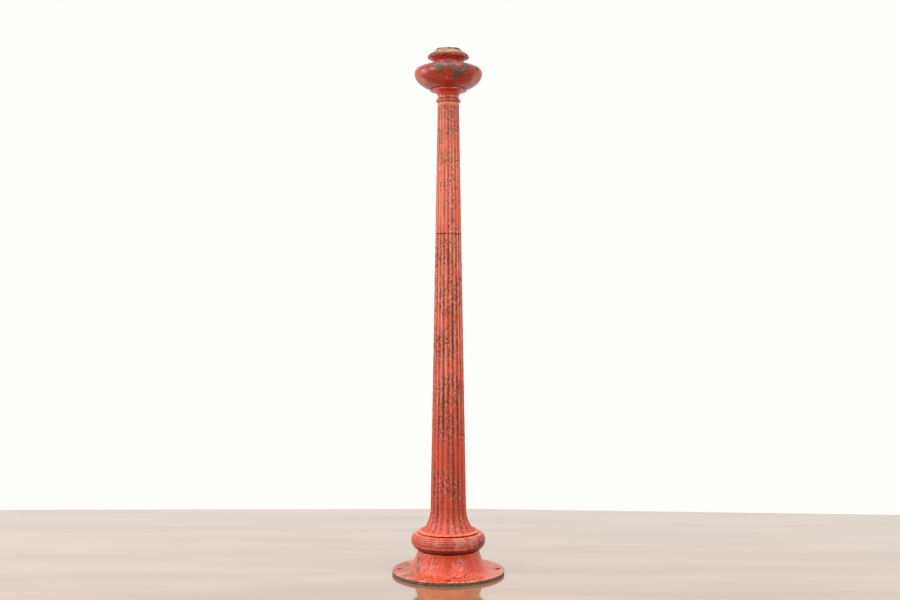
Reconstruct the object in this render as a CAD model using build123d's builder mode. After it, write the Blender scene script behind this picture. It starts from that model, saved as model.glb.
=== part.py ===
from build123d import *
import math
import os

# A fluted cast-iron street post: stacked castings clamped by a pipe up the middle.
# Millimetres, +Z up, origin on the floor under the centre of the base.

# ---------------------------------------------------------------- driving sizes
# base casting: round flange with a hollow bell on it
flange_r = 195.5
flange_t = 14.7
flange_edge_r = 3.0          # rounding of the flange's edge
bell_h = 71.3
bell_foot_r = 142.7
bell_belly_r = 120.5         # radius of the bell's curve halfway up
bell_belly_h = 30.5          # height of that place above the flange
bell_top_r = 108.3
bell_lip = 2.5               # small chamfer under the ring moulding
bell_foot_fillet = 5.0
bell_wall = 9.0
bell_belly_extra = 2.0       # the wall is this much thicker halfway up
bell_foot_extra = 4.0        # and this much thicker at the foot
bell_top_t = 12.0            # thickness of the plate that closes the bell
anchor_inset = 24.0          # from the flange's edge to the bolt circle
anchor_hole_r = 9.5
anchor_count = 4

# ring moulding on the bell
ring_h = 56.6
ring_r = 129.8
ring_belly_h = 33.1          # height of the widest place above the bell
ring_top_flat_r = 111.3
ring_under_r = 99.8
ring_wall = 9.0
ring_collar_wall = 9.0       # wall round the ring's bore
reed_r = 1.3
reed_turns = (55, 33, 15, -2, -12)   # how far round the ring's two curves each reed is
ring_bore_room = 38.9        # radial room round the centre pipe

# fluted shaft in two lengths
lip_r = 106.2
lip_t = 5.2
lip_recess_h = 2.8           # shadow groove under the lip
lip_recess_r = 101.0
flare_h = 82.8
foot_r = 62.7                # shaft radius where the flare starts
head_r = 37.9                # shaft radius under the bead
lower_len = 951.0
upper_len = 456.6
shaft_wall = 10.0
foot_hollow_r = 80.0
foot_hollow_bulge = 6.5      # how far the hollow has opened halfway down the flare
flute_count = 20
flute_share = 0.42           # half width of a flute as a share of the pitch
flute_depth_share = 0.18     # depth of a flute as a share of the pitch
flute_plain_h = 9.0          # plain band left at the head of the shaft
flute_overrun = 6.0          # the cutters run this far past the seam
foot_flute_reach = 0.80      # how far the foot's flutes run out towards the lip

# joint between the two shafts
sleeve_len = 120.0
sleeve_wall = 7.0
sleeve_seat_step = 1.0       # relief beside the sleeve's lower end
sleeve_seat_step_h = 2.0
pin_r = 4.0
pin_count = 4
pin_above_seam = 16.0
pin_sunk = 1.0               # how far a pin's end is under the shaft's surface
drill_overrun = 5.0

# bead, neck and bulb
bead_h = 25.0
bead_proud = 5.4             # how far the bead stands out from the shaft's head
bead_ball_r = 5.6
bead_ball_h = 7.5            # height of the bead's middle above the shaft
bead_collar_inset = 1.2      # the collar above the bead is this much slimmer than the head
bead_step_h = 1.0            # slope between the bead and its collar
neck_h = 23.0
neck_low_inset = 0.8
neck_bore_room = 8.9         # radial room round the centre pipe
neck_curve_out = 5.5         # a point of the neck's curve, out from its foot
neck_curve_up = 8.5          # and above it
neck_ring_r = 64.1
neck_ring_h = 8.7
neck_ring_under = 6.0        # where the neck's curve meets the ring, in from its edge
neck_ring_nose = 2.0         # how far in the ring's rounding starts
neck_ring_lift = 1.0         # slope under the ring
bulb_r = 118.1
bulb_low_h = 53.4            # from the neck ring to the widest place
bulb_low_semi = 65.0         # height of the lower half if it ran to a pole
bulb_top_h = 35.6            # from the widest place to the cup
bulb_top_power = 2.47        # how square the bulb's shoulder is
bulb_throat_r = 52.0
bulb_wall = 8.0
shoulder_points = 8
shoulder_end_slope = 0.05

# cup and the pipe collar in it
cup_neck_r = 50.9
cup_neck_h = 5.8
cup_rim_r = 72.2
cup_rim_low_h = 17.5         # where the rim starts to round over, above the cup's seat
cup_rim_top_h = 28.7
cup_curve_out = 8.0          # a point of the cup's curve, out from its neck
cup_curve_up = 7.5           # and above it
cup_rim_under = 4.0          # where the curve meets the rim, in from its edge
cup_rim_over = 3.0           # where the cover meets the rim, in from its edge
cup_cover_in = 13.0          # a point of the cover's curve, in from the rim's edge
cup_cover_rise = 2.0         # how far that point is above the straight line
cup_top_h = 43.8
cup_floor_t = 8.0
collar_r = 44.45
collar_wall = 5.5
collar_len = 20.8            # it stands on a ledge in the cup, clear above the clamp nut
collar_ledge = 2.5           # width of the ledge under the collar's wall
collar_chamfer = 1.2

# centre pipe and what clamps it
pipe_r = 21.1
pipe_wall = 3.6
pipe_low_z = 4.0
pipe_above_nut = 2.0
pipe_under_ledge = 2.0       # from the pipe's end up to the collar's ledge
washer_t = 4.0
washer_r = 36.0
nut_flat = 60.0              # across flats
nut_t = 14.0
locknut_t = 8.0
bridge_len = 196.0
bridge_side = 8.2            # metal left each side of the pipe's hole
bridge_t = 16.0
bridge_bolt_x = 85.0
bridge_bolt_r = 6.0
bridge_bolt_flat = 19.0
bridge_bolt_head_t = 7.5
bridge_bolt_grip = 18.0      # how far the bolt runs into its lug
bolt_washer_r = 12.0
bolt_washer_t = 2.5
lug_w = 34.0
lug_h = 24.0
lug_in_x = 70.0
plate_r = 72.0
plate_t = 6.0
plate_window_r = 11.0
plate_window_count = 6

# registers and clearances
register_h = 6.0             # length of each centring spigot
register_gap = 0.4           # radial clearance of a spigot in its bore
pipe_gap = 0.7               # radial clearance round the centre pipe
thread_gap = 0.1             # radial clearance that stands for a thread
collar_gap = 0.3
bolt_gap = 0.75
stop_gap = 0.5               # axial clearance over a spigot's end

# ---------------------------------------------------------------- heights, floor up
seat_z = flange_t + bell_h
ring_top_z = seat_z + ring_h
lip_low_z = ring_top_z + lip_recess_h
lip_top_z = lip_low_z + lip_t
shaft_z = lip_top_z + flare_h
seam_z = shaft_z + lower_len
head_z = seam_z + upper_len
bead_top_z = head_z + bead_h
bulb_z = bead_top_z + neck_h
belly_z = bulb_z + bulb_low_h
cup_z = belly_z + bulb_top_h
cup_floor_z = cup_z + cup_floor_t
pipe_top_z = cup_floor_z + washer_t + nut_t + pipe_above_nut
ledge_z = pipe_top_z + pipe_under_ledge
collar_top_z = ledge_z + collar_len

# radii that follow from the sizes above
ring_bore_r = pipe_r + ring_bore_room
anchor_pcd = 2 * (flange_r - anchor_inset)
bead_r = head_r + bead_proud
bead_collar_r = head_r - bead_collar_inset
neck_low_r = head_r - neck_low_inset
register_r = ring_bore_r - register_gap
foot_boss_r = foot_hollow_r - register_gap
seam_r = foot_r + (head_r - foot_r) * lower_len / (lower_len + upper_len)
sleeve_r = seam_r - shaft_wall
head_bore_r = head_r - shaft_wall
pipe_bore_r = pipe_r + pipe_gap
bridge_w = 2 * (pipe_bore_r + bridge_side)
neck_bore_r = pipe_r + neck_bore_room
window_circle_r = (plate_r + pipe_bore_r) / 2

# stack of the bottom clamp, from the lugs down
lug_low_z = seat_z - bell_top_t - lug_h
bridge_low_z = lug_low_z - bridge_t
washer_low_z = bridge_low_z - washer_t
nut_low_z = washer_low_z - nut_t
locknut_low_z = nut_low_z - locknut_t
top_nut_z = cup_floor_z + washer_t
pin_z = seam_z + pin_above_seam

os.makedirs("parts", exist_ok=True)


def save(block, name):
    """Label a finished piece and write it as its own file."""
    block.part.label = name
    export_step(block.part, f"parts/{name}.step")


def tube(low_z, high_z, outer_r, inner_r, mode=Mode.ADD):
    """Upright tube between two heights, joined to the part being built."""
    with BuildSketch(Plane.XY.offset(low_z)) as section:
        Circle(outer_r)
        if inner_r > 0:
            Circle(inner_r, mode=Mode.SUBTRACT)
    extrude(section.sketch, amount=high_z - low_z, mode=mode)


def hexagon(low_z, height, flat, bore_r):
    """Upright hexagon nut between two heights."""
    with BuildSketch(Plane.XY.offset(low_z)) as section:
        RegularPolygon(radius=flat / 2, side_count=6, major_radius=False)
        Circle(bore_r, mode=Mode.SUBTRACT)
    extrude(section.sketch, amount=height)


def shaft_radius(z):
    """Outside radius of the straight taper at a height."""
    return foot_r + (head_r - foot_r) * (z - shaft_z) / (head_z - shaft_z)


def spokes(z, count):
    """Planes that look outwards from the axis at one height, between the flutes."""
    turns = [math.radians(360 / count * (step + 0.5)) for step in range(count)]
    return [Plane(origin=(0, 0, z), z_dir=(math.cos(turn), math.sin(turn), 0))
            for turn in turns]


def flute_section(z):
    """Radius of a flute's cutter at a height, and its centre for the flute on +X."""
    pitch = 2 * math.pi * shaft_radius(z) / flute_count
    half = flute_share * pitch
    depth = flute_depth_share * pitch
    radius = (half**2 + depth**2) / (2 * depth)
    return radius, Vector(shaft_radius(z) + radius - depth, 0, z)


def flute_cone(low_z, high_z):
    """Cutter for one flute between two heights: a long slanted cone tied to the taper."""
    low_radius, low = flute_section(low_z)
    high_radius, high = flute_section(high_z)
    with Locations(Plane(origin=low, z_dir=high - low)):
        Cone(low_radius, high_radius, (high - low).length,
             align=(Align.CENTER, Align.CENTER, Align.MIN))


def bulb_outline(width, low_semi, low_h, top_h, throat_r):
    """Ellipse below the widest place, and a squarer shoulder above it up to the throat."""
    low_turn = math.degrees(math.asin(low_h / low_semi))
    throat_turn = math.acos((throat_r / width) ** (bulb_top_power / 2))
    turns = [throat_turn * step / (shoulder_points - 1) for step in range(shoulder_points)]
    shoulder = [(width * math.cos(turn) ** (2 / bulb_top_power),
                 belly_z + top_h * math.sin(turn) ** (2 / bulb_top_power)) for turn in turns]
    return low_turn, width * math.cos(math.radians(low_turn)), shoulder


# ---------------------------------------------------------------- base casting
with BuildPart() as base_casting:
    hollow_top_r = bell_top_r - bell_wall - bell_top_t / 2
    hollow_low_r = bell_foot_r - bell_wall - bell_foot_extra
    with BuildSketch(Plane.XZ) as base_section:
        with BuildLine():
            bell_curve = ThreePointArc(
                (bell_foot_r, flange_t),
                (bell_belly_r, flange_t + bell_belly_h),
                (bell_top_r, seat_z - bell_lip))
            Polyline(bell_curve @ 1, (bell_top_r - bell_lip, seat_z), (ring_bore_r, seat_z),
                     (ring_bore_r, seat_z - bell_top_t),
                     (hollow_top_r, seat_z - bell_top_t))
            ThreePointArc((hollow_top_r, seat_z - bell_top_t),
                          (bell_belly_r - bell_wall - bell_belly_extra,
                           flange_t + bell_belly_h - bell_wall / 2), (hollow_low_r, 0))
            Polyline((hollow_low_r, 0), (flange_r, 0), (flange_r, flange_t), bell_curve @ 0)
        make_face()
        edge_corners = base_section.vertices().group_by(Axis.X)[-1]
        fillet(edge_corners, flange_edge_r)
    revolve(axis=Axis.Z)
    foot_edge = base_casting.edges().filter_by(GeomType.CIRCLE).filter_by(
        lambda edge: abs(edge.radius - bell_foot_r) < 0.01)
    fillet(foot_edge, bell_foot_fillet)
    # anchor holes through the flange
    with BuildSketch(Plane.XY):
        with PolarLocations(anchor_pcd / 2, anchor_count):
            Circle(anchor_hole_r)
    extrude(amount=flange_t, mode=Mode.SUBTRACT)
    # two lugs under the top plate carry the bridge bar
    with BuildSketch(Plane.XY.offset(lug_low_z)):
        for side in (-1, 1):
            with Locations((side * (lug_in_x + bell_top_r - bell_wall / 2) / 2, 0)):
                Rectangle(bell_top_r - bell_wall / 2 - lug_in_x, lug_w)
    extrude(amount=lug_h)
    with BuildSketch(Plane.XY.offset(lug_low_z)):
        for side in (-1, 1):
            with Locations((side * bridge_bolt_x, 0)):
                Circle(bridge_bolt_r + thread_gap)
    extrude(amount=bridge_bolt_grip + stop_gap, mode=Mode.SUBTRACT)
save(base_casting, "base_casting")

# ---------------------------------------------------------------- ring moulding
with BuildPart() as torus_ring:
    belly_height = seat_z + ring_belly_h
    with BuildSketch(Plane.XZ):
        with BuildLine():
            EllipticalCenterArc((ring_top_flat_r, belly_height), ring_r - ring_top_flat_r,
                                ring_h - ring_belly_h, 0, arc_size=90)
            EllipticalCenterArc((ring_under_r, belly_height), ring_r - ring_under_r,
                                ring_belly_h, 270, arc_size=90)
            Polyline((ring_under_r, seat_z), (ring_bore_r, seat_z), (ring_bore_r, ring_top_z),
                     (ring_top_flat_r, ring_top_z))
        make_face()
    revolve(axis=Axis.Z)
    # hollow from below, leaving the wall round the bore
    with BuildSketch(Plane.XZ):
        with BuildLine():
            pocket_r = ring_bore_r + ring_collar_wall
            Polyline((pocket_r, seat_z), (ring_under_r - ring_wall, seat_z),
                     (ring_r - 2 * ring_wall, belly_height), (ring_top_flat_r - ring_wall,
                     ring_top_z - ring_wall), (pocket_r, ring_top_z - ring_wall), close=True)
        make_face()
    revolve(axis=Axis.Z, mode=Mode.SUBTRACT)
    # spigot into the base, and the boss that centres the shaft's foot
    tube(seat_z - register_h, seat_z, register_r, register_r - ring_collar_wall)
    tube(seat_z, ring_top_z, ring_bore_r + ring_collar_wall, register_r - ring_collar_wall)
    tube(ring_top_z, ring_top_z + register_h, foot_boss_r, foot_boss_r - ring_collar_wall)
    # fine reeds round the belly
    with BuildSketch(Plane.XZ):
        for degrees in reed_turns:
            turn = math.radians(degrees)
            inner_r = ring_top_flat_r if degrees > 0 else ring_under_r
            tall = ring_h - ring_belly_h if degrees > 0 else ring_belly_h
            reed_x = inner_r + (ring_r - inner_r) * math.cos(turn)
            reed_z = belly_height + tall * math.sin(turn)
            with Locations((reed_x, reed_z)):
                Circle(reed_r)
    revolve(axis=Axis.Z, mode=Mode.SUBTRACT)
save(torus_ring, "torus_ring")

# ---------------------------------------------------------------- lower shaft with its foot
with BuildPart() as lower_flute:
    # the flute runs straight down the taper, then out along the flare
    nose_r = lip_r - lip_t / 2
    flute_r, flute_start = flute_section(shaft_z)
    lean = (flute_start.X - flute_section(seam_z)[1].X) / lower_len
    lift = flute_start.X - foot_r
    sweep_wide = nose_r - foot_r - lift
    sweep_tall = flare_h - lift
    start_turn = math.atan(lean * sweep_tall / sweep_wide)
    sweep_centre = (flute_start.X + sweep_wide * math.cos(start_turn),
                    shaft_z + sweep_tall * math.sin(start_turn))
    with BuildLine(Plane.XZ) as flute_path:
        EllipticalCenterArc(sweep_centre, sweep_wide, sweep_tall, 180 + math.degrees(start_turn),
                            arc_size=90 * foot_flute_reach)
    with BuildSketch(Plane(origin=flute_path.line @ 0, z_dir=flute_path.line % 0)):
        Circle(flute_r)
    sweep(path=flute_path.line)
    flute_cone(shaft_z, seam_z + flute_overrun)

with BuildPart() as upper_flute:
    flute_cone(seam_z - flute_overrun, head_z - flute_plain_h)

with BuildPart() as shaft_lower:
    with BuildSketch(Plane.XZ):
        with BuildLine():
            ThreePointArc((nose_r, lip_low_z), (lip_r, lip_low_z + lip_t / 2),
                          (nose_r, lip_top_z))
            EllipticalCenterArc((nose_r, shaft_z), nose_r - foot_r, flare_h, 180, arc_size=90)
            Polyline((foot_r, shaft_z), (seam_r, seam_z), (sleeve_r, seam_z),
                     (sleeve_r, seam_z - sleeve_len / 2),
                     (sleeve_r + sleeve_seat_step,
                      seam_z - sleeve_len / 2 - sleeve_seat_step_h),
                     (foot_r - shaft_wall, shaft_z))
            ThreePointArc((foot_r - shaft_wall, shaft_z),
                          (foot_r - shaft_wall + foot_hollow_bulge, shaft_z - flare_h / 2),
                          (foot_hollow_r, ring_top_z + register_h + stop_gap))
            Polyline((foot_hollow_r, ring_top_z + register_h + stop_gap),
                     (foot_hollow_r, ring_top_z), (lip_recess_r, ring_top_z),
                     (lip_recess_r, lip_low_z), (nose_r, lip_low_z))
        make_face()
    revolve(axis=Axis.Z)
    with PolarLocations(0, flute_count):
        add(lower_flute.part, mode=Mode.SUBTRACT)
save(shaft_lower, "shaft_lower")

# ---------------------------------------------------------------- upper shaft
with BuildPart() as shaft_upper:
    with BuildSketch(Plane.XZ):
        with BuildLine():
            sleeve_top_z = seam_z + sleeve_len / 2
            stop_bore_r = sleeve_r - sleeve_wall / 2
            Polyline((seam_r, seam_z), (head_r, head_z), (head_bore_r, head_z),
                     (stop_bore_r, sleeve_top_z), (sleeve_r, sleeve_top_z),
                     (sleeve_r, seam_z), close=True)
        make_face()
    revolve(axis=Axis.Z)
    with PolarLocations(0, flute_count):
        add(upper_flute.part, mode=Mode.SUBTRACT)
    with Locations(*spokes(pin_z, pin_count)):
        Cylinder(pin_r + thread_gap, seam_r + drill_overrun,
                 align=(Align.CENTER, Align.CENTER, Align.MIN), mode=Mode.SUBTRACT)
save(shaft_upper, "shaft_upper")

# ---------------------------------------------------------------- sleeve and pins
with BuildPart() as joint_sleeve:
    tube(seam_z - sleeve_len / 2, seam_z + sleeve_len / 2, sleeve_r - register_gap,
         sleeve_r - sleeve_wall)
    with Locations(*spokes(pin_z, pin_count)):
        Cylinder(pin_r + thread_gap, sleeve_r + drill_overrun,
                 align=(Align.CENTER, Align.CENTER, Align.MIN), mode=Mode.SUBTRACT)
save(joint_sleeve, "joint_sleeve")

with BuildPart() as joint_pins:
    pin_in_r = sleeve_r - sleeve_wall
    pin_out_r = shaft_radius(pin_z) - pin_sunk
    with Locations(*[plane.offset(pin_in_r) for plane in spokes(pin_z, pin_count)]):
        Cylinder(pin_r, pin_out_r - pin_in_r,
                 align=(Align.CENTER, Align.CENTER, Align.MIN))
save(joint_pins, "joint_pins")

# ---------------------------------------------------------------- bead under the capital
with BuildPart() as neck_bead:
    with BuildSketch(Plane.XZ):
        with BuildLine():
            ball_low_z = head_z + bead_ball_h - bead_ball_r
            ball_high_z = head_z + bead_ball_h + bead_ball_r
            ThreePointArc((head_r, ball_low_z), (bead_r, head_z + bead_ball_h),
                          (head_r, ball_high_z))
            Polyline((head_r, ball_high_z), (bead_collar_r, ball_high_z + bead_step_h),
                     (bead_collar_r, bead_top_z), (pipe_bore_r, bead_top_z),
                     (pipe_bore_r, head_z - register_h),
                     (head_bore_r - register_gap, head_z - register_h),
                     (head_bore_r - register_gap, head_z), (head_r, head_z),
                     (head_r, ball_low_z))
        make_face()
    revolve(axis=Axis.Z)
    tube(bead_top_z - register_h, bead_top_z, neck_bore_r, 0, mode=Mode.SUBTRACT)
save(neck_bead, "neck_bead")

# ---------------------------------------------------------------- neck under the bulb
with BuildPart() as capital_neck:
    ring_low_z = bulb_z - neck_ring_h
    nose_in_r = neck_ring_r - neck_ring_nose
    with BuildSketch(Plane.XZ):
        with BuildLine():
            ThreePointArc((neck_low_r, bead_top_z),
                          (neck_low_r + neck_curve_out, bead_top_z + neck_curve_up),
                          (neck_ring_r - neck_ring_under, ring_low_z))
            Line((neck_ring_r - neck_ring_under, ring_low_z),
                 (nose_in_r, ring_low_z + neck_ring_lift))
            ThreePointArc((nose_in_r, ring_low_z + neck_ring_lift),
                          (neck_ring_r, bulb_z - neck_ring_h / 2), (nose_in_r, bulb_z))
            Polyline((nose_in_r, bulb_z), (neck_bore_r, bulb_z),
                     (neck_bore_r, bulb_z - register_h - stop_gap),
                     (pipe_bore_r, bulb_z - register_h - stop_gap),
                     (pipe_bore_r, bead_top_z - register_h + stop_gap),
                     (neck_bore_r - register_gap, bead_top_z - register_h + stop_gap),
                     (neck_bore_r - register_gap, bead_top_z), (neck_low_r, bead_top_z))
        make_face()
    revolve(axis=Axis.Z)
save(capital_neck, "capital_neck")

# ---------------------------------------------------------------- bulb
with BuildPart() as capital_bulb:
    low_turn, bulb_foot_r, shoulder = bulb_outline(
        bulb_r, bulb_low_semi, bulb_low_h, bulb_top_h, bulb_throat_r)
    with BuildSketch(Plane.XZ):
        with BuildLine():
            EllipticalCenterArc((0, belly_z), bulb_r, bulb_low_semi, -low_turn,
                                arc_size=low_turn)
            Spline(*shoulder, tangents=((0, 1), (-1, shoulder_end_slope)))
            Polyline(shoulder[-1], (bulb_throat_r, cup_z), (0, cup_z), (0, bulb_z),
                     (bulb_foot_r, bulb_z))
        make_face()
    revolve(axis=Axis.Z)
    low_turn, hollow_foot_r, shoulder = bulb_outline(
        bulb_r - bulb_wall, bulb_low_semi - bulb_wall, bulb_low_h - bulb_wall,
        bulb_top_h - bulb_wall, bulb_throat_r - bulb_wall)
    with BuildSketch(Plane.XZ):
        with BuildLine():
            EllipticalCenterArc((0, belly_z), bulb_r - bulb_wall, bulb_low_semi - bulb_wall,
                                -low_turn, arc_size=low_turn)
            Spline(*shoulder, tangents=((0, 1), (-1, shoulder_end_slope)))
            Polyline(shoulder[-1], (0, shoulder[-1][1]), (0, bulb_z + bulb_wall),
                     (hollow_foot_r, bulb_z + bulb_wall))
        make_face()
    revolve(axis=Axis.Z, mode=Mode.SUBTRACT)
    tube(bulb_z - register_h, bulb_z, neck_bore_r - register_gap, 0)
    tube(bulb_z - register_h, bulb_z + bulb_wall, pipe_bore_r, 0, mode=Mode.SUBTRACT)
    tube(belly_z, cup_z, neck_bore_r, 0, mode=Mode.SUBTRACT)
save(capital_bulb, "capital_bulb")

# ---------------------------------------------------------------- cup
with BuildPart() as top_cup:
    neck_top_z = cup_z + cup_neck_h
    rim_low_z = cup_z + cup_rim_low_h
    rim_top_z = cup_z + cup_rim_top_h
    cover_z = cup_z + cup_top_h
    cup_bore_r = collar_r + collar_gap
    chamber_r = collar_r - collar_ledge
    with BuildSketch(Plane.XZ):
        with BuildLine():
            ThreePointArc((cup_neck_r, neck_top_z),
                          (cup_neck_r + cup_curve_out, neck_top_z + cup_curve_up),
                          (cup_rim_r - cup_rim_under, rim_low_z))
            ThreePointArc((cup_rim_r - cup_rim_under, rim_low_z),
                          (cup_rim_r, (rim_low_z + rim_top_z) / 2),
                          (cup_rim_r - cup_rim_over, rim_top_z))
            ThreePointArc((cup_rim_r - cup_rim_over, rim_top_z),
                          (cup_rim_r - cup_cover_in, (rim_top_z + cover_z) / 2 + cup_cover_rise),
                          (cup_bore_r, cover_z))
            Polyline((cup_bore_r, cover_z), (cup_bore_r, ledge_z), (chamber_r, ledge_z),
                     (chamber_r, cup_floor_z), (pipe_bore_r, cup_floor_z),
                     (pipe_bore_r, cup_z - register_h),
                     (neck_bore_r - register_gap, cup_z - register_h),
                     (neck_bore_r - register_gap, cup_z), (cup_neck_r, cup_z),
                     (cup_neck_r, neck_top_z))
        make_face()
    revolve(axis=Axis.Z)
save(top_cup, "top_cup")

with BuildPart() as top_collar:
    tube(ledge_z, collar_top_z, collar_r, collar_r - collar_wall)
    top_edges = top_collar.edges().group_by(Axis.Z)[-1]
    chamfer(top_edges, collar_chamfer)
save(top_collar, "top_collar")

# ---------------------------------------------------------------- centre pipe and clamps
with BuildPart() as tie_pipe:
    tube(pipe_low_z, pipe_top_z, pipe_r, pipe_r - pipe_wall)
save(tie_pipe, "tie_pipe")

with BuildPart() as base_bridge:
    with BuildSketch(Plane.XY.offset(bridge_low_z)):
        Rectangle(bridge_len, bridge_w)
        Circle(pipe_bore_r, mode=Mode.SUBTRACT)
        for side in (-1, 1):
            with Locations((side * bridge_bolt_x, 0)):
                Circle(bridge_bolt_r + bolt_gap, mode=Mode.SUBTRACT)
    extrude(amount=bridge_t)
save(base_bridge, "base_bridge")

with BuildPart() as bridge_bolts:
    head_top_z = bridge_low_z - bolt_washer_t
    for side in (-1, 1):
        with BuildSketch(Plane.XY.offset(head_top_z - bridge_bolt_head_t)):
            with Locations((side * bridge_bolt_x, 0)):
                RegularPolygon(radius=bridge_bolt_flat / 2, side_count=6, major_radius=False)
        extrude(amount=bridge_bolt_head_t)
        with BuildSketch(Plane.XY.offset(head_top_z)):
            with Locations((side * bridge_bolt_x, 0)):
                Circle(bridge_bolt_r)
        extrude(amount=bolt_washer_t + bridge_t + bridge_bolt_grip)
save(bridge_bolts, "bridge_bolts")

with BuildPart() as bridge_washers:
    with BuildSketch(Plane.XY.offset(bridge_low_z - bolt_washer_t)):
        for side in (-1, 1):
            with Locations((side * bridge_bolt_x, 0)):
                Circle(bolt_washer_r)
                Circle(bridge_bolt_r + bolt_gap, mode=Mode.SUBTRACT)
    extrude(amount=bolt_washer_t)
save(bridge_washers, "bridge_washers")

with BuildPart() as centring_plate:
    plate_z = ring_top_z + register_h
    with BuildSketch(Plane.XY.offset(plate_z)):
        Circle(plate_r)
        Circle(pipe_bore_r, mode=Mode.SUBTRACT)
        with PolarLocations(window_circle_r, plate_window_count):
            Circle(plate_window_r, mode=Mode.SUBTRACT)
    extrude(amount=plate_t)
save(centring_plate, "centring_plate")

with BuildPart() as bottom_washer:
    tube(washer_low_z, bridge_low_z, washer_r, pipe_bore_r)
save(bottom_washer, "bottom_washer")

with BuildPart() as bottom_nut:
    hexagon(nut_low_z, nut_t, nut_flat, pipe_r + thread_gap)
save(bottom_nut, "bottom_nut")

with BuildPart() as bottom_locknut:
    hexagon(locknut_low_z, locknut_t, nut_flat, pipe_r + thread_gap)
save(bottom_locknut, "bottom_locknut")

with BuildPart() as top_washer:
    tube(cup_floor_z, top_nut_z, washer_r, pipe_bore_r)
save(top_washer, "top_washer")

with BuildPart() as top_nut:
    hexagon(top_nut_z, nut_t, nut_flat, pipe_r + thread_gap)
save(top_nut, "top_nut")

print("post height", round(collar_top_z, 2), "pipe", round(pipe_top_z - pipe_low_z, 2))
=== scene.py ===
# %% [markdown]
# A fluted street post
#
# This lesson dresses a cast-iron street post: a bolted round base, a ring moulding, a fluted
# shaft in two lengths, a bulb capital and a flared cup with a pipe collar in it. The sizes
# come from a finished CAD model, which is loaded first and never moved. Each casting that
# shows is then built again with its rounded corners, its bumpy skin and its old paint.

# %% Load the finished model
import math

import bpy
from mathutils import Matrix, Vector


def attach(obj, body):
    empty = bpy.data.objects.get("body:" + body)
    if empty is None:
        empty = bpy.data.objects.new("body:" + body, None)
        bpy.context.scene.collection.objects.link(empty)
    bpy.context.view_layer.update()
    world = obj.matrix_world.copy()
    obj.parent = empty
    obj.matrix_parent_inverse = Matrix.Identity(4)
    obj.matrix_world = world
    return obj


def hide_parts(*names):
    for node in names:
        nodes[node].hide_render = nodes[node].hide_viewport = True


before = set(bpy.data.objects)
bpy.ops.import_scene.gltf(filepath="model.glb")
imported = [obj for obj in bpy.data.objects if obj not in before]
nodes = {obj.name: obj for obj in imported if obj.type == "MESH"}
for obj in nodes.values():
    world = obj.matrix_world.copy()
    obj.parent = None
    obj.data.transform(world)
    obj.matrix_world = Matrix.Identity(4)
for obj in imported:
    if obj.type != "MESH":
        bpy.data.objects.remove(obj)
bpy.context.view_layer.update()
scene = bpy.context.scene
MM = 0.001

# %% [markdown]
# The view
#
# The camera stands four metres in front of the post at waist height and looks level, so that
# upright lines stay upright. A slightly long lens keeps the round parts calm.

# %% Camera
camera_at = Vector((0.0058, -4.018, 0.9535))
camera = bpy.data.objects.new("camera", bpy.data.cameras.new("camera"))
camera.data.lens = 46.0
camera.data.sensor_width = 36.0
camera.data.clip_end = 50.0
camera.location = camera_at
camera.rotation_euler = (math.radians(90), 0, 0)
scene.collection.objects.link(camera)
scene.camera = camera
scene.view_settings.view_transform = "Standard"
print("camera at", tuple(camera_at))

# %% [markdown]
# Building node trees
#
# Materials and Geometry Nodes are both trees of nodes. Small helpers keep the trees below
# short: they add a node and fill its sockets, do a sum, make a soft step, mix colours and
# start a material.

# %% Helpers for node trees
def put(tree, kind, sockets=None, **options):
    """Adds a node, sets its options, and fills sockets with numbers or with links."""
    node = tree.nodes.new(kind)
    for option, value in options.items():
        setattr(node, option, value)
    for name, value in (sockets or {}).items():
        if isinstance(value, bpy.types.NodeSocket):
            tree.links.new(value, node.inputs[name])
        else:
            node.inputs[name].default_value = value
    return node


def calc(tree, operation, a, b=None, c=None, clamp=False):
    """One Math node; gives its result."""
    sockets = {i: v for i, v in enumerate((a, b, c)) if v is not None}
    return put(tree, "ShaderNodeMath", sockets, operation=operation, use_clamp=clamp).outputs[0]


def fade(tree, value, low, high, from_=0.0, to=1.0):
    """A soft step: from_ below low, to above high."""
    return put(tree, "ShaderNodeMapRange", {"Value": value, "From Min": low, "From Max": high,
               "To Min": from_, "To Max": to}, interpolation_type="SMOOTHSTEP").outputs[0]


def mix(tree, factor, under, over, way="MIX"):
    """Lays one colour over another by a factor."""
    return put(tree, "ShaderNodeMix", {0: factor, 6: under, 7: over}, data_type="RGBA",
               blend_type=way).outputs[2]


def colour(red, green, blue):
    """A screen colour, 0 to 255, as the linear colour that a node wants."""
    parts = [c / 255 for c in (red, green, blue)]
    return tuple(c / 12.92 if c <= 0.04045 else ((c + 0.055) / 1.055) ** 2.4
                 for c in parts) + (1.0,)


def start_material(name):
    """A new material, with its tree, its shader and its Object coordinates."""
    made = bpy.data.materials.new(name)
    made.use_nodes = True
    tree = made.node_tree
    where = put(tree, "ShaderNodeTexCoord").outputs["Object"]
    return made, tree, tree.nodes["Principled BSDF"], where


print("plain grey in linear light:", round(colour(128, 128, 128)[0], 3))

# %% [markdown]
# The room
#
# The floor is brown boards under a hard gloss, which the bright wall makes look pale, and the
# post stands mirrored in it. The wall is only the world's colour as the camera sees it. The
# light that falls on the post is grey, brighter overhead and towards the wall. Behind the
# viewer the room is darker, which keeps the middle of the glossy bulb deep.

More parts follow.
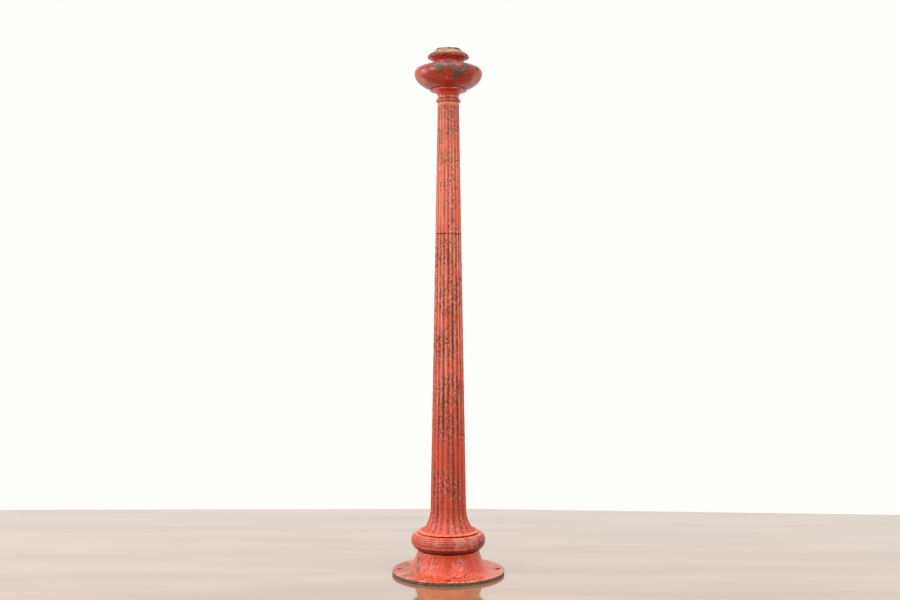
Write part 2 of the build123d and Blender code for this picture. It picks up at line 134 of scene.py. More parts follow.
# %% Floor
def pale_floor():
    """Smooth boards with a hard gloss and faint streaks along them."""
    made, tree, shader, where = start_material("pale_floor")
    along = put(tree, "ShaderNodeMapping", {"Vector": where, "Scale": (0.3, 2.2, 1.0)}).outputs[0]
    drift = put(tree, "ShaderNodeTexNoise", {"Vector": along, "Scale": 2.6, "Detail": 5.0})
    tint = mix(tree, fade(tree, drift.outputs["Fac"], 0.35, 0.65), colour(146, 106, 68),
               colour(172, 132, 92))
    tree.links.new(tint, shader.inputs["Base Color"])
    shader.inputs["Roughness"].default_value = 0.13
    shader.inputs["IOR"].default_value = 2.3
    shader.inputs["Coat Weight"].default_value = 1.0
    shader.inputs["Coat Roughness"].default_value = 0.06
    return made


floor_mesh = bpy.data.meshes.new("floor")
floor_back, floor_front, floor_half = 1.235, -5.0, 3.6
floor_mesh.from_pydata([(-floor_half, floor_front, 0), (floor_half, floor_front, 0),
                        (floor_half, floor_back - 0.28, 0), (0.1, floor_back, 0),
                        (-floor_half, floor_back - 0.05, 0)],
                       [], [(0, 1, 2, 3, 4)])
floor = bpy.data.objects.new("floor", floor_mesh)
floor_mesh.materials.append(pale_floor())
scene.collection.objects.link(floor)
print("floor is", 2 * floor_half, "m wide")

# %% World
world = bpy.data.worlds.new("room")
scene.world = world
world.use_nodes = True
sky = world.node_tree
sky.nodes.clear()
ray = put(sky, "ShaderNodeLightPath")
seen = calc(sky, "MAXIMUM", ray.outputs["Is Camera Ray"], ray.outputs["Is Transmission Ray"])
direction = put(sky, "ShaderNodeTexCoord").outputs["Generated"]
heading = put(sky, "ShaderNodeSeparateXYZ", {"Vector": direction}).outputs
backward = fade(sky, heading["Y"], -0.8, 0.3)
mirrored = mix(sky, backward, (0.09, 0.08, 0.075, 1), (0.95, 0.94, 0.92, 1))
level = mix(sky, backward, (0.16, 0.155, 0.15, 1), (0.6, 0.59, 0.58, 1))
above = mix(sky, fade(sky, heading["Z"], 0.1, 0.9), level, (0.9, 0.89, 0.88, 1))
daylight = mix(sky, ray.outputs["Is Glossy Ray"], above, mirrored)
shown = mix(sky, seen, daylight, (0.991, 0.988, 0.965, 1))
lit = put(sky, "ShaderNodeBackground", {"Color": shown, "Strength": 1.0})
put(sky, "ShaderNodeOutputWorld", {"Surface": lit.outputs[0]})
print("world nodes:", len(sky.nodes))

# %% [markdown]
# Softboxes
#
# Two small soft lights stand left and right of the viewer and put the paired highlights on
# the bell. A tall one at the left gives the shaft its bright line on that side, and a wide
# one overhead lights the ledges. They stay mild, so that a colour renders about as it is written.

# %% Lights
def softbox(name, at, aim, width, height, power):
    """A soft rectangular light that faces a point."""
    light = bpy.data.objects.new(name, bpy.data.lights.new(name, "AREA"))
    light.data.shape = "RECTANGLE"
    light.data.size, light.data.size_y = width, height
    light.data.energy = power
    light.location = at
    light.rotation_euler = (Vector(aim) - Vector(at)).to_track_quat("-Z", "Y").to_euler()
    scene.collection.objects.link(light)
    return light


post_middle = (0, 0, 0.9)
softbox("softbox_left", (-2.45, -2.15, 2.2), post_middle, 0.3, 0.6, 46.0)
softbox("softbox_right", (2.05, -2.45, 2.2), post_middle, 0.3, 0.6, 44.0)
softbox("softbox_side", (-3.1, -0.1, 1.6), (0, 0, 1.0), 0.5, 2.2, 34.0)
softbox("softbox_top", (0.0, -0.7, 3.7), post_middle, 1.6, 1.6, 44.0)

# %% [markdown]
# Sizes of the castings
#
# These are the CAD model's own sizes in millimetres, from the floor up. The outlines below
# are drawn from them, so that every rebuilt casting has the outside of its CAD solid. Insides
# are simpler: the ring moulding, hollow from below in the CAD, is solid here, where the bell
# covers it.

# %% Sizes
flange_r, flange_t, flange_edge = 195.5, 14.7, 3.0
bell_foot_r, bell_belly_r, bell_top_r, bell_lip = 142.7, 120.5, 108.3, 2.5
seat_z, ring_top_z = 86.0, 142.6
lip_low_z, lip_top_z, lip_r, lip_nose_r = 145.4, 150.6, 106.2, 103.6
shaft_z, seam_z, head_z = 233.4, 1184.4, 1641.0
foot_r, head_r = 62.7, 37.9
bead_top_z, bulb_z, belly_z, cup_z = 1666.0, 1689.0, 1742.4, 1778.0
ledge_z, collar_top_z = 1808.0, 1828.8
bore_r, neck_bore_r, ring_bore_r = 21.8, 30.0, 60.0
flute_count, flute_half_share, flute_depth_share = 20, 0.42, 0.18

# %% [markdown]
# Drawing outlines
#
# A round casting is one closed outline turned round the post's axis. These helpers draw the
# pieces of an outline as lists of (radius, height): an arc through three points, a part of an
# ellipse, a rounded corner, and a line divided into short even steps.

# %% Helpers for outlines
def arc(a, b, c, steps):
    """Points of the circle's arc from a through b to c."""
    (ax, ay), (bx, by), (cx, cy) = a, b, c
    d = 2 * (ax * (by - cy) + bx * (cy - ay) + cx * (ay - by))
    sq = [p[0] ** 2 + p[1] ** 2 for p in (a, b, c)]
    ox = (sq[0] * (by - cy) + sq[1] * (cy - ay) + sq[2] * (ay - by)) / d
    oy = (sq[0] * (cx - bx) + sq[1] * (ax - cx) + sq[2] * (bx - ax)) / d
    turns = [math.atan2(p[1] - oy, p[0] - ox) for p in (a, b, c)]
    for k in (1, 2):  # unwrap, so that the arc really passes b
        while turns[k] - turns[k - 1] > math.pi:
            turns[k] -= 2 * math.pi
        while turns[k] - turns[k - 1] < -math.pi:
            turns[k] += 2 * math.pi
    radius = math.hypot(ax - ox, ay - oy)
    sweep = turns[2] - turns[0]
    return [(ox + radius * math.cos(turns[0] + sweep * s / steps),
             oy + radius * math.sin(turns[0] + sweep * s / steps)) for s in range(steps + 1)]


def ellipse(centre, wide, tall, start, end, steps):
    """Points of an ellipse between two angles in degrees."""
    turns = [math.radians(start + (end - start) * s / steps) for s in range(steps + 1)]
    return [(centre[0] + wide * math.cos(t), centre[1] + tall * math.sin(t)) for t in turns]


def rounded(a, corner, c, radius, steps=4):
    """A corner between two straight sides, rounded to a radius."""
    corner, to_a, to_c = Vector(corner), Vector(a) - Vector(corner), Vector(c) - Vector(corner)
    to_a.normalize()
    to_c.normalize()
    half = to_a.angle(to_c) / 2
    start = corner + to_a * radius / math.tan(half)
    end = corner + to_c * radius / math.tan(half)
    middle_way = (to_a + to_c).normalized()
    middle = corner + middle_way * (radius / math.sin(half) - radius)
    return arc(tuple(start), tuple(middle), tuple(end), steps)


def even(points, step):
    """The same outline with its long sides divided."""
    made = [points[0]]
    for a, b in zip(points, points[1:]):
        parts = max(1, math.ceil(math.dist(a, b) / step - 1e-6))
        made += [(a[0] + (b[0] - a[0]) * s / parts, a[1] + (b[1] - a[1]) * s / parts)
                 for s in range(1, parts + 1)]
    return made


def soft_step(x, low, high):
    """0 below low, 1 above high, smooth between."""
    x = min(1.0, max(0.0, (x - low) / (high - low)))
    return x * x * (3 - 2 * x)


print("quarter arc points:", len(arc((1, 0), (0.707, 0.707), (0, 1), 8)))

# %% [markdown]
# One slice, then a ring of slices
#
# All these castings repeat round the axis, so only one thin slice of each is made, and
# Geometry Nodes turn it into the whole. A slice carries three numbers at every point: skin is
# 1 where the rough outside shows, groove tells how deep in a flute a point is, and wear
# where hands, boots and weather have rubbed the paint.

# %% The slice
def slice_mesh(name, outside, inside, slices, columns, wear=None, flute=None):
    """One slice: a closed outline swept over a narrow angle, with its three attributes."""
    section = outside + inside
    count, total = len(outside), len(outside) + len(inside)
    points, skin, groove, rubbed = [], [], [], []
    pitch_turn = 2 * math.pi / slices
    for row, (r, z) in enumerate(section):
        before, after = section[row - 1], section[(row + 1) % total]
        out_r, out_z = after[1] - before[1], before[0] - after[0]
        length = math.hypot(out_r, out_z) or 1.0
        on_skin = 1.0 if row < count else 0.0
        for share in columns:
            depth, shade = (0.0, 0.0)
            if flute and on_skin:
                depth, shade = flute(r, z, share * pitch_turn * r)
            rr, zz = r - depth * out_r / length, z - depth * out_z / length
            turn = share * pitch_turn
            points.append((rr * math.cos(turn) * MM, rr * math.sin(turn) * MM, zz * MM))
            skin.append(on_skin)
            groove.append(shade)
            rubbed.append(wear(r, z) if wear and on_skin else 0.0)
    wide = len(columns)
    faces = [(i * wide + j, i * wide + j + 1, ((i + 1) % total) * wide + j + 1,
              ((i + 1) % total) * wide + j) for i in range(total) for j in range(wide - 1)]
    mesh = bpy.data.meshes.new(name)
    mesh.from_pydata(points, [], faces)
    for label, values in (("skin", skin), ("groove", groove), ("wear", rubbed)):
        mesh.attributes.new(label, "FLOAT", "POINT").data.foreach_set("value", values)
    return mesh


def columns_of(count):
    """Even columns across a slice."""
    return [s / count - 0.5 for s in range(count + 1)]


print("a plain slice has", len(columns_of(20)), "columns")

# %% Tree: ring of slices
def start_tree(name, inputs):
    """A new Geometry Nodes tree with named inputs; gives the tree and its input node."""
    tree = bpy.data.node_groups.new(name, "GeometryNodeTree")
    tree.interface.new_socket("Geometry", in_out="INPUT", socket_type="NodeSocketGeometry")
    for label, kind in inputs:
        tree.interface.new_socket(label, in_out="INPUT", socket_type=kind)
    tree.interface.new_socket("Geometry", in_out="OUTPUT", socket_type="NodeSocketGeometry")
    return tree, put(tree, "NodeGroupInput").outputs


def end_tree(tree, geometry, finish):
    """Real geometry and a finish, which every tree here ends in."""
    real = put(tree, "GeometryNodeRealizeInstances", {"Geometry": geometry})
    dressed = put(tree, "GeometryNodeSetMaterial", {"Geometry": real.outputs[0],
                                                    "Material": finish})
    put(tree, "NodeGroupOutput", {"Geometry": dressed.outputs[0]})


ring_tree, given = start_tree("ring_of_slices", [
    ("Slices", "NodeSocketInt"), ("Weld", "NodeSocketFloat"), ("Finish", "NodeSocketMaterial")])
spots = put(ring_tree, "GeometryNodePoints", {"Count": given["Slices"]})
index = put(ring_tree, "GeometryNodeInputIndex").outputs[0]
turn = calc(ring_tree, "DIVIDE", calc(ring_tree, "MULTIPLY", index, 2 * math.pi), given["Slices"])
spin = put(ring_tree, "ShaderNodeCombineXYZ", {"Z": turn})
copies = put(ring_tree, "GeometryNodeInstanceOnPoints", {
    "Points": spots.outputs[0], "Instance": given["Geometry"], "Rotation": spin.outputs[0]})
whole = put(ring_tree, "GeometryNodeRealizeInstances", {"Geometry": copies.outputs[0]})
welded = put(ring_tree, "GeometryNodeMergeByDistance", {
    "Geometry": whole.outputs[0], "Distance": given["Weld"]})
end_tree(ring_tree, welded.outputs[0], given["Finish"])
print("ring tree nodes:", len(ring_tree.nodes))

# %% [markdown]
# Casting skin
#
# Sand casting and a dozen coats of paint leave a surface of low lumps, small pits and chipped
# corners. A displacement could be painted by hand, but the second tree makes it by rule: it
# only ever moves points inwards, so the casting never grows out of its CAD size, and it keeps
# the pits as an attribute for the paint to darken.

# %% Tree: casting skin
skin_tree, given = start_tree("casting_skin", [
    ("Lump Depth", "NodeSocketFloat"), ("Lump Scale", "NodeSocketFloat"),
    ("Pit Depth", "NodeSocketFloat"), ("Pit Scale", "NodeSocketFloat"),
    ("Chip Depth", "NodeSocketFloat"), ("Seed", "NodeSocketFloat"),
    ("Finish", "NodeSocketMaterial")])
place = put(skin_tree, "GeometryNodeInputPosition").outputs[0]
outward = put(skin_tree, "GeometryNodeInputNormal").outputs[0]


def named(tree, label):
    """A number kept at each point of the mesh."""
    return put(tree, "GeometryNodeInputNamedAttribute", {"Name": label},
               data_type="FLOAT").outputs["Attribute"]


def clouds(tree, where, scale, detail, seed):
    """Soft noise with a fixed seed."""
    return put(tree, "ShaderNodeTexNoise", {"Vector": where, "W": seed, "Scale": scale,
               "Detail": detail}, noise_dimensions="4D").outputs[0]


lumps = fade(skin_tree, clouds(skin_tree, place, given["Lump Scale"], 3.0, given["Seed"]),
             0.3, 0.7, 1.0, 0.0)
cells = put(skin_tree, "ShaderNodeTexVoronoi", {"Vector": place, "W": given["Seed"],
            "Scale": given["Pit Scale"]}, voronoi_dimensions="4D").outputs["Distance"]
pit_patches = fade(skin_tree, clouds(skin_tree, place, 14.0, 2.0, given["Seed"]), 0.45, 0.62)
pits = calc(skin_tree, "MULTIPLY", fade(skin_tree, cells, 0.12, 0.34, 1.0, 0.0), pit_patches)
chips = calc(skin_tree, "MULTIPLY", named(skin_tree, "wear"),
             fade(skin_tree, clouds(skin_tree, place, 120.0, 2.0, given["Seed"]), 0.5, 0.68))
depth = calc(skin_tree, "MULTIPLY", lumps, given["Lump Depth"])
depth = calc(skin_tree, "MULTIPLY_ADD", pits, given["Pit Depth"], depth)
depth = calc(skin_tree, "MULTIPLY_ADD", chips, given["Chip Depth"], depth)
depth = calc(skin_tree, "MULTIPLY", depth, named(skin_tree, "skin"))
inward = put(skin_tree, "ShaderNodeVectorMath", {0: outward, "Scale": calc(
    skin_tree, "MULTIPLY", depth, -1.0)}, operation="SCALE").outputs[0]
kept = given["Geometry"]
for label, value in (("pit", pits), ("chip", chips)):
    kept = put(skin_tree, "GeometryNodeStoreNamedAttribute", {
        "Geometry": kept, "Name": label, "Value": value}, data_type="FLOAT",
        domain="POINT").outputs[0]
pressed = put(skin_tree, "GeometryNodeSetPosition", {"Geometry": kept, "Offset": inward})
end_tree(skin_tree, pressed.outputs[0], given["Finish"])
print("skin tree nodes:", len(skin_tree.nodes))

# %% Running a tree
def run_modifiers(mesh, setup):
    """Hangs modifiers on a mesh, keeps the plain result and throws the carrier away."""
    carrier = bpy.data.objects.new("carrier", mesh)
    scene.collection.objects.link(carrier)
    setup(carrier)
    graph = bpy.context.evaluated_depsgraph_get()
    result = bpy.data.meshes.new_from_object(carrier.evaluated_get(graph),
                                             preserve_all_data_layers=True, depsgraph=graph)
    bpy.data.objects.remove(carrier)
    return result


def through(tree, mesh, sizes):
    """A mesh sent through one tree, its inputs set by their identifiers."""
    sockets = {item.name: item.identifier for item in tree.interface.items_tree
               if item.in_out == "INPUT"}

    def setup(carrier):
        modifier = carrier.modifiers.new(tree.name, "NODES")
        modifier.node_group = tree
        for label, value in sizes.items():
            modifier[sockets[label]] = value

    return run_modifiers(mesh, setup)


def finish_piece(name, mesh, node, sharp=40.0):
    """Turns a mesh into a piece that rides on the post and stands for its CAD node."""
    mesh.name = name
    mesh.shade_smooth()
    mesh.set_sharp_from_angle(angle=math.radians(sharp))
    piece = bpy.data.objects.new(name, mesh)
    scene.collection.objects.link(piece)
    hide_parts(node)
    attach(piece, "root")
    triangles = sum(len(p.vertices) - 2 for p in mesh.polygons)
    print(f"{name}: {triangles} triangles")


weld = 0.00002


def turned(name, outside, inside, slices, columns, finish, wear=None, flute=None):
    """A closed outline turned round the axis, as one welded ring of slices."""
    one = slice_mesh(name, outside, inside, slices, columns, wear, flute)
    return through(ring_tree, one, {"Slices": slices, "Weld": weld, "Finish": finish})


def rough_cast(mesh, finish, seed, lumps, dents, chip_depth):
    """Gives a mesh its casting skin; lumps and dents are each a depth and a scale."""
    return through(skin_tree, mesh, {
        "Lump Depth": lumps[0], "Lump Scale": lumps[1], "Pit Depth": dents[0],
        "Pit Scale": dents[1], "Chip Depth": chip_depth, "Seed": seed, "Finish": finish})


print("points closer than", weld / MM, "mm are welded")

# %% [markdown]
# Old red enamel
#
# The paint is many coats of orange-red enamel over bumpy iron. Up close it is never one
# colour: it has faded to salmon where the light and dust reach it, holds black pits, and
# carries brown grime down the bottoms of the flutes. On top of that, light is painted in: the
# hollows and some bands are darkened as painted shade, and the ridges, part of the light
# crumbs and some bands are lightened as painted highlights and glints.
# One function builds that layer by layer from noise on Object coordinates and from the
# slice's own attributes, and each casting asks for its own amounts.

# %% Paint colours
red_fresh, red_deep = colour(222, 82, 50), colour(140, 34, 20)
# The pale pink makes the light crumbs, which are chalky specks and partly painted glints.
red_faded, pink_chalk_and_glint, mauve = colour(222, 118, 94), colour(236, 176, 158), colour(150, 88, 80)
# The grime colour is also laid in bands as painted shade under the ring and round the bead.
grime_and_shade, soot, raw_iron = colour(82, 64, 42), colour(28, 21, 18), colour(88, 72, 62)
primer = colour(206, 186, 150)
olive, mould, pale_dust = colour(108, 94, 70), colour(46, 38, 28), colour(206, 140, 124)
print("fresh paint in linear light:", tuple(round(c, 3) for c in red_fresh[:3]))

# %% Paint
def noise_of(tree, where, scale, detail=3.0, roughness=0.5):
    """Noise value over a position."""
    return put(tree, "ShaderNodeTexNoise", {"Vector": where, "Scale": scale, "Detail": detail,
               "Roughness": roughness}).outputs[0]


def mark(tree, label):
    """An attribute of the mesh, read by a material."""
    return put(tree, "ShaderNodeAttribute", attribute_name=label).outputs["Fac"]


def patch(tree, where, spots):
    """1 inside any of the given round patches (x, y, z, radius in millimetres), 0 outside."""
    most = None
    for x, y, z, radius in spots:
        away = put(tree, "ShaderNodeVectorMath", {0: where, 1: (x * MM, y * MM, z * MM)},
                   operation="DISTANCE").outputs["Value"]
        inside = fade(tree, away, radius * MM * 0.35, radius * MM * 1.05, 1.0, 0.0)
        most = inside if most is None else calc(tree, "MAXIMUM", most, inside)
    return most


def old_enamel(name, fresh=red_fresh, faded=red_faded, fading=0.5, pits=0.5, streaks=0.0,
               specks=0.5, edges=1.0, gloss=0.36, bump=0.5, furrow_shade=0.5, primed=0.8, rub=0.4,
               climb=None, bare=(raw_iron, soot), stain=(soot, grime_and_shade), crowded=(), dust_and_light=(),
               worn=(), bands=()):
    """Layered old paint. crowded and worn are round patches of pits and of bare metal,
    dust_and_light lists (tint, strength, patches) of dust and of painted light, bands lists
    (low, high, amount, tint) by height in millimetres, of dirt, worn paint, painted shade and
    painted highlights, climb fades it up the post, primed is the primer round chips, rub is how
    fully a worn patch is bare, furrow_shade is how much painted shade lies in the hollows."""
    made, tree, shader, where = start_material(name)
    height = put(tree, "ShaderNodeSeparateXYZ", {"Vector": where}).outputs["Z"]
    warp = put(tree, "ShaderNodeTexNoise", {"Vector": where, "Scale": 30.0, "Detail": 3.0})
    bent = put(tree, "ShaderNodeVectorMath", {0: warp.outputs["Color"], 1: (0.04, 0.04, 0.04),
               2: where}, operation="MULTIPLY_ADD").outputs[0]
    bent = put(tree, "ShaderNodeVectorMath", {0: bent, 1: (0.02, 0.02, 0.02)},
               operation="SUBTRACT").outputs[0]
    tall = put(tree, "ShaderNodeMapping", {"Vector": bent, "Scale": (1.0, 1.0, 0.12)}).outputs[0]
    groove, pit, chip = mark(tree, "groove"), mark(tree, "pit"), mark(tree, "chip")

    # broad tone, then the chalky fade on all that stands proud;
    #     # the extra fade on the ridges is painted highlight
    tone = fade(tree, noise_of(tree, tall, 26.0), 0.35, 0.65)
    paint = mix(tree, tone, fresh, mix(tree, 0.3, fresh, red_deep))
    faint = noise_of(tree, tall, 48.0, 4.0, 0.6)
    if climb:
        rise = fade(tree, height, climb[0] * MM, climb[1] * MM, -climb[2], climb[2])
        faint = calc(tree, "ADD", faint, rise)
    proud = calc(tree, "MULTIPLY_ADD", groove, -0.16, faint)
    paint = mix(tree, fade(tree, proud, 0.62 - 0.34 * fading, 0.86 - 0.34 * fading), paint, faded)
    # painted shade: flute and reed hollows darkened towards deep red
    paint = mix(tree, calc(tree, "MULTIPLY", groove, furrow_shade), paint, red_deep)
    fine = noise_of(tree, where, 60.0, 4.0, 0.65)
    matt = 0.0
    # Patches of dust, and on the bulb patches of painted light.
    for tint, strength, spots in dust_and_light:
        powder_and_light = calc(tree, "MULTIPLY", patch(tree, bent, spots),
                      fade(tree, fine, 0.34, 0.6, 0.3 * strength, strength))
        paint = mix(tree, powder_and_light, paint, tint)
        matt = calc(tree, "MAXIMUM", matt, powder_and_light)

    # where it is busy: fine light and dark crumbs, and clusters of pits
    crumbs = noise_of(tree, where, 190.0, 4.0, 0.7)
    busy = fade(tree, noise_of(tree, tall, 22.0, 2.0), 0.62 - 0.3 * pits, 0.7 - 0.3 * pits)
    spread = specks
    if crowded:
        flow = noise_of(tree, tall if streaks else bent, 30.0, 3.0)
        busy = fade(tree, calc(tree, "MULTIPLY_ADD", patch(tree, bent, crowded), 0.3, flow),
                    0.5, 0.74, 0.1, 1.0)
        spread = calc(tree, "MULTIPLY", busy, specks)
    # The light crumbs are chalky specks and partly painted glints.
    light = calc(tree, "MULTIPLY", fade(tree, crumbs, 0.53, 0.63, 0.0, 0.7), spread)
    paint = mix(tree, light, paint, pink_chalk_and_glint)
    dark = calc(tree, "MULTIPLY", fade(tree, crumbs, 0.34, 0.46, 1.0, 0.0), spread)
    paint = mix(tree, dark, paint, red_deep)
    cells = put(tree, "ShaderNodeTexVoronoi", {"Vector": bent, "Scale": 85.0}).outputs["Distance"]
    holes = calc(tree, "MULTIPLY", fade(tree, cells, 0.19, 0.29, 1.0, 0.0), busy)
    holes = calc(tree, "MAXIMUM", holes, fade(tree, pit, 0.35, 0.8))
    paint = mix(tree, calc(tree, "MULTIPLY", holes, 0.9 * min(1.0, pits * 1.6)), paint, soot)

    # grime that has run down the flutes, in broken dotted lines
    dirt = 0.0
    if streaks:
        run = noise_of(tree, put(tree, "ShaderNodeMapping", {
            "Vector": where, "Scale": (1.0, 1.0, 0.05)}).outputs[0], 95.0, 2.0)
        broken = noise_of(tree, put(tree, "ShaderNodeMapping", {
            "Vector": where, "Scale": (1.0, 1.0, 0.7)}).outputs[0], 210.0, 4.0, 0.7)
        run = calc(tree, "MULTIPLY_ADD", broken, 1.8, run)
        run = calc(tree, "MULTIPLY_ADD", busy, 0.18, run)
        run = fade(tree, run, 1.7 - 0.25 * streaks, 1.78 - 0.25 * streaks)
        dirt = calc(tree, "MULTIPLY", run, fade(tree, groove, 0.55, 0.9))
        dirt = calc(tree, "MULTIPLY", dirt, fade(tree, height, 170 * MM, 250 * MM, 0.35, 1.0))
        paint = mix(tree, calc(tree, "MULTIPLY", dirt, 0.92), paint,
                    mix(tree, fade(tree, crumbs, 0.4, 0.6), *stain))

    # chips and rubbed patches down to primer and iron, then dirt that lies over everything
    gone = calc(tree, "MULTIPLY", fade(tree, chip, 0.25, 0.55), edges)
    gone = calc(tree, "MAXIMUM", gone, fade(tree, mark(tree, "wear"), 0.9, 0.97))
    if worn:
        rubbed = calc(tree, "MULTIPLY_ADD", patch(tree, bent, worn), rub,
                      noise_of(tree, where, 170.0, 5.0, 0.75))
        gone = calc(tree, "MAXIMUM", gone, fade(tree, rubbed, 0.76, 0.88))
    rim = calc(tree, "MULTIPLY", gone, calc(tree, "SUBTRACT", 1.0, gone))
    paint = mix(tree, calc(tree, "MULTIPLY", rim, 3.2 * primed, clamp=True), paint, primer)
    # Unpainted insides are bare iron; on the walls of the drilled holes that darkness is also
    # painted shade.
    inner = calc(tree, "LESS_THAN", mark(tree, "skin"), 0.5)
    paint = mix(tree, calc(tree, "MAXIMUM", gone, inner), paint,
                mix(tree, fade(tree, crumbs, 0.42, 0.6), *bare))
    for low, high, amount, tint in bands:
        band = calc(tree, "MULTIPLY", fade(tree, height, (low - 1) * MM, (low + 1) * MM),
                    fade(tree, height, (high - 1) * MM, (high + 1) * MM, 1.0, 0.0))
        blotch = fade(tree, fine, 0.62 - 0.4 * amount, 0.74 - 0.4 * amount)
        paint = mix(tree, calc(tree, "MULTIPLY", band, blotch), paint, tint)
    tree.links.new(paint, shader.inputs["Base Color"])

    rough = fade(tree, crumbs, 0.3, 0.7, gloss - 0.07, gloss + 0.1)
    dull = calc(tree, "MAXIMUM", calc(tree, "MAXIMUM", holes, gone), dirt)
    dull = calc(tree, "MAXIMUM", dull, matt)
    rough = calc(tree, "MULTIPLY_ADD", dull, 0.4, rough, clamp=True)
    tree.links.new(rough, shader.inputs["Roughness"])
    relief = calc(tree, "MULTIPLY_ADD", noise_of(tree, where, 130.0, 2.0), 1.4, crumbs)
    relief = calc(tree, "MULTIPLY_ADD", holes, -0.9, relief)
    relief = calc(tree, "MULTIPLY_ADD", gone, -0.3, relief)
    raised = put(tree, "ShaderNodeBump", {"Height": relief, "Strength": bump,
                                          "Distance": 0.0022}).outputs[0]
    tree.links.new(raised, shader.inputs["Normal"])
    return made


print("the enamel function is ready")

# %% [markdown]
# The base
#
# The base is one casting: a flat round flange with four anchor holes, and a hollow bell on
# it. It is drawn as one closed outline, turned in twelve slices, and then drilled. A boolean
# is used for the holes and for the two lugs under the top plate, because they break the
# round symmetry that the slices rely on.

# %% Base outline
hollow_top, hollow_low, plate_low_z = 93.3, 129.7, 74.0
bell_curve = arc((bell_foot_r, flange_t), (bell_belly_r, 45.2),
                 (bell_top_r, seat_z - bell_lip), 34)
bell_start = bell_curve[2]
foot_blend = arc((149.2, flange_t), (145.4, 15.9), bell_start, 5)
base_out = even(
    rounded((150, 0), (flange_r, 0), (flange_r, flange_t), 1.0, 2)
    + rounded((flange_r, 0), (flange_r, flange_t), (150, flange_t), flange_edge, 5)
    + foot_blend + bell_curve[3:]
    + rounded(bell_curve[-1], (bell_top_r - bell_lip, seat_z), (90, seat_z), 1.0, 2), 2.6)
base_in = even([(ring_bore_r, seat_z), (ring_bore_r, plate_low_z)]
               + arc((hollow_top, plate_low_z), (109.5, 40.7), (hollow_low, 0.0), 8), 12.0)


def base_wear(r, z):
    """Bare metal round the flange's edge, rubbed paint on its arris and under the ring."""
    edge = soft_step(r, 191.0, 194.0) * (1.0 if z < 10.5 else 0.85)
    return max(edge, 0.45 * soft_step(z, 79.0, 84.0), 0.25 * soft_step(r, 183.0, 191.0))


for name, rows in (("outside", base_out), ("inside", base_in)):
    print("base", name, "rows:", len(rows))

# %% Base finish
base_paint = old_enamel(
    "bell_enamel", fresh=colour(226, 78, 42), faded=colour(226, 106, 76), fading=0.35,
    pits=0.72, specks=0.85, gloss=0.15, bump=0.5, rub=0.36,
    bare=(colour(132, 102, 88), colour(58, 42, 34)),
    crowded=[(-58, -106, 50, 36), (-66, -126, 24, 38), (44, -112, 50, 36), (58, -130, 24, 42),
             (4, -126, 42, 24), (-100, -66, 44, 36), (-140, -70, 15, 44), (96, -116, 15, 32),
             (70, 96, 50, 48), (-60, 116, 30, 48)],
    dust_and_light=[(colour(140, 84, 72), 0.9, [(-168, -20, 15, 52), (-150, 60, 15, 54),
                                       (-140, -96, 15, 38), (0, 172, 15, 60)]),
           (colour(190, 124, 108), 0.9, [(166, 20, 15, 46), (150, -76, 15, 40),
                                         (120, 120, 15, 50)])],
    worn=[(-108, -48, 54, 28), (-104, -76, 32, 22), (-130, -72, 16, 20), (104, 54, 50, 26)],
    # The dark band under the ring, from 84 to 89 mm, is painted shade.
    bands=[(84, 89, 0.5, grime_and_shade), (11.2, 13.6, 0.45, colour(222, 178, 158))])
base_mesh = turned("base_slice", base_out, base_in, 12, columns_of(34), base_paint, base_wear)
print("base after welding:", len(base_mesh.vertices), "points")

# %% Drilling and lugs
def block(name, corners_low, corners_high):
    """A closed box between two corners, as a tool for a boolean."""
    (ax, ay, az), (bx, by, bz) = corners_low, corners_high
    points = [(x * MM, y * MM, z * MM) for x in (ax, bx) for y in (ay, by) for z in (az, bz)]
    mesh = bpy.data.meshes.new(name)
    mesh.from_pydata(points, [], [(0, 1, 3, 2), (4, 6, 7, 5), (0, 4, 5, 1), (2, 3, 7, 6),
                                  (0, 2, 6, 4), (1, 5, 7, 3)])
    return mesh


def rod(name, x, y, low, high, radius, sides=40):
    """An upright closed rod, as a tool for a boolean."""
    ring = [(x + radius * math.cos(2 * math.pi * s / sides),
             y + radius * math.sin(2 * math.pi * s / sides)) for s in range(sides)]
    points = [(a * MM, b * MM, h * MM) for h in (low, high) for a, b in ring]
    walls = [(s, (s + 1) % sides, sides + (s + 1) % sides, sides + s) for s in range(sides)]
    mesh = bpy.data.meshes.new(name)
    mesh.from_pydata(points, [], walls + [tuple(range(sides))[::-1],
                                          tuple(range(sides, 2 * sides))])
    return mesh


def carve(mesh, tools):
    """Joins or cuts tool meshes, one after another, and keeps the plain result."""
    holders = []
    for tool, _ in tools:
        holders.append(bpy.data.objects.new(tool.name, tool))
        scene.collection.objects.link(holders[-1])

    def setup(carrier):
        for holder, (_, operation) in zip(holders, tools):
            modifier = carrier.modifiers.new(holder.name, "BOOLEAN")
            modifier.solver, modifier.operation, modifier.object = "EXACT", operation, holder

    result = run_modifiers(mesh, setup)
    for holder in holders:
        bpy.data.objects.remove(holder)
    return result


hole_circle_r, hole_r, drill_low, drill_high = 171.5, 9.5, -5, 25
lug_in, lug_out, lug_half, lug_low_z, lug_top_z = 70.0, 104, 17.0, 50.0, 78
tools = [(rod(f"drill_{s}", hole_circle_r * math.cos(s * math.pi / 2),
              hole_circle_r * math.sin(s * math.pi / 2), drill_low, drill_high, hole_r),
          "DIFFERENCE")
         for s in range(4)]
tools += [(block(name, (near, -lug_half, lug_low_z), (far, lug_half, lug_top_z)), "UNION")
          for name, near, far in (("lug_right", lug_in, lug_out), ("lug_left", -lug_out, -lug_in))]
base_mesh = rough_cast(carve(base_mesh, tools), base_paint, 1.0, (0.0009, 85.0),
                       (0.0014, 95.0), 0.0009)
finish_piece("base_bell", base_mesh, "base_casting")

# %% [markdown]
# The ring moulding
#
# A fat torus sits on the bell. Three fine reeds run round its upper curve and two round its
# lower one; they were turned in the pattern, so here they are simply part of the outline.

